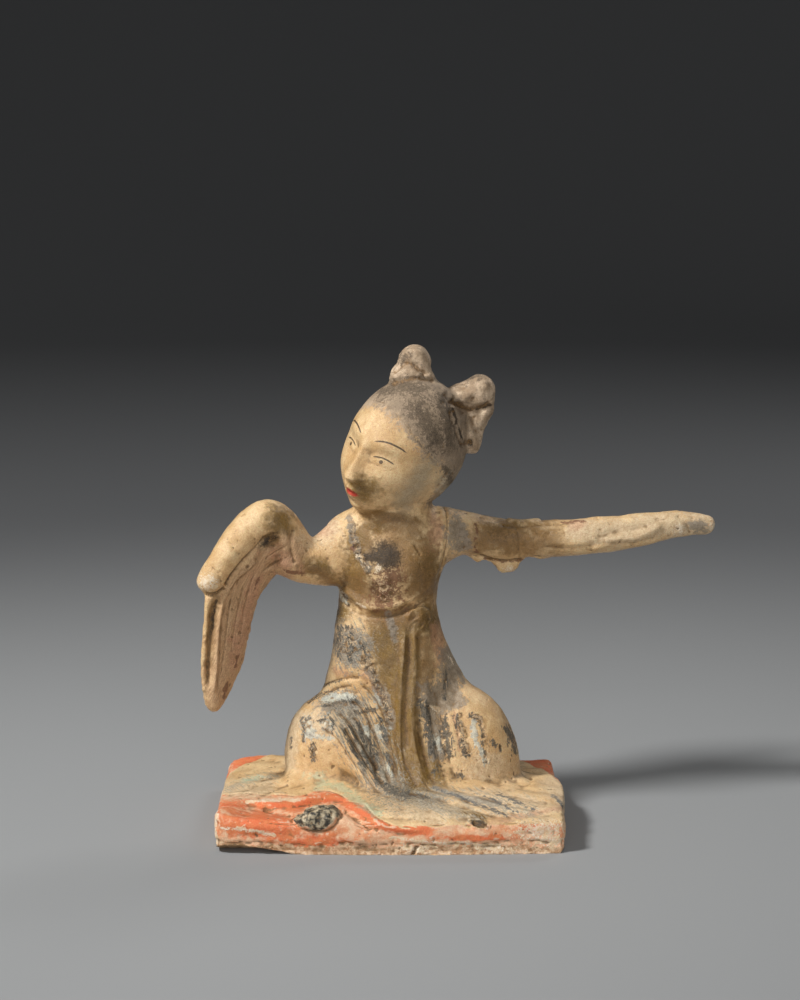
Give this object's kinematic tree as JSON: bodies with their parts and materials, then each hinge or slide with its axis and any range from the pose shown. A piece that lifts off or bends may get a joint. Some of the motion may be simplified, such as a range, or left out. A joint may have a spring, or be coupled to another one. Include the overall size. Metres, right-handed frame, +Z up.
{
  "type": "tomb dancer figure",
  "caption": "Small glazed earthenware figure of a kneeling dancer on a thin slab, one arm held out, the other raised with a long hanging sleeve.",
  "frame": {"origin": "middle of the slab's flat underside", "axes": "+X towards the figure's left, -Y its front, +Z up"},
  "size_m": [0.1848, 0.0934, 0.1693],
  "materials": {
    "glazed_earthenware": "straw-coloured glaze over buff clay, worn, with remains of black, blue-grey and orange-red paint"
  },
  "bodies": {
    "root": {"kneeling_dancer": "glazed_earthenware"}
  },
  "joints": []
}
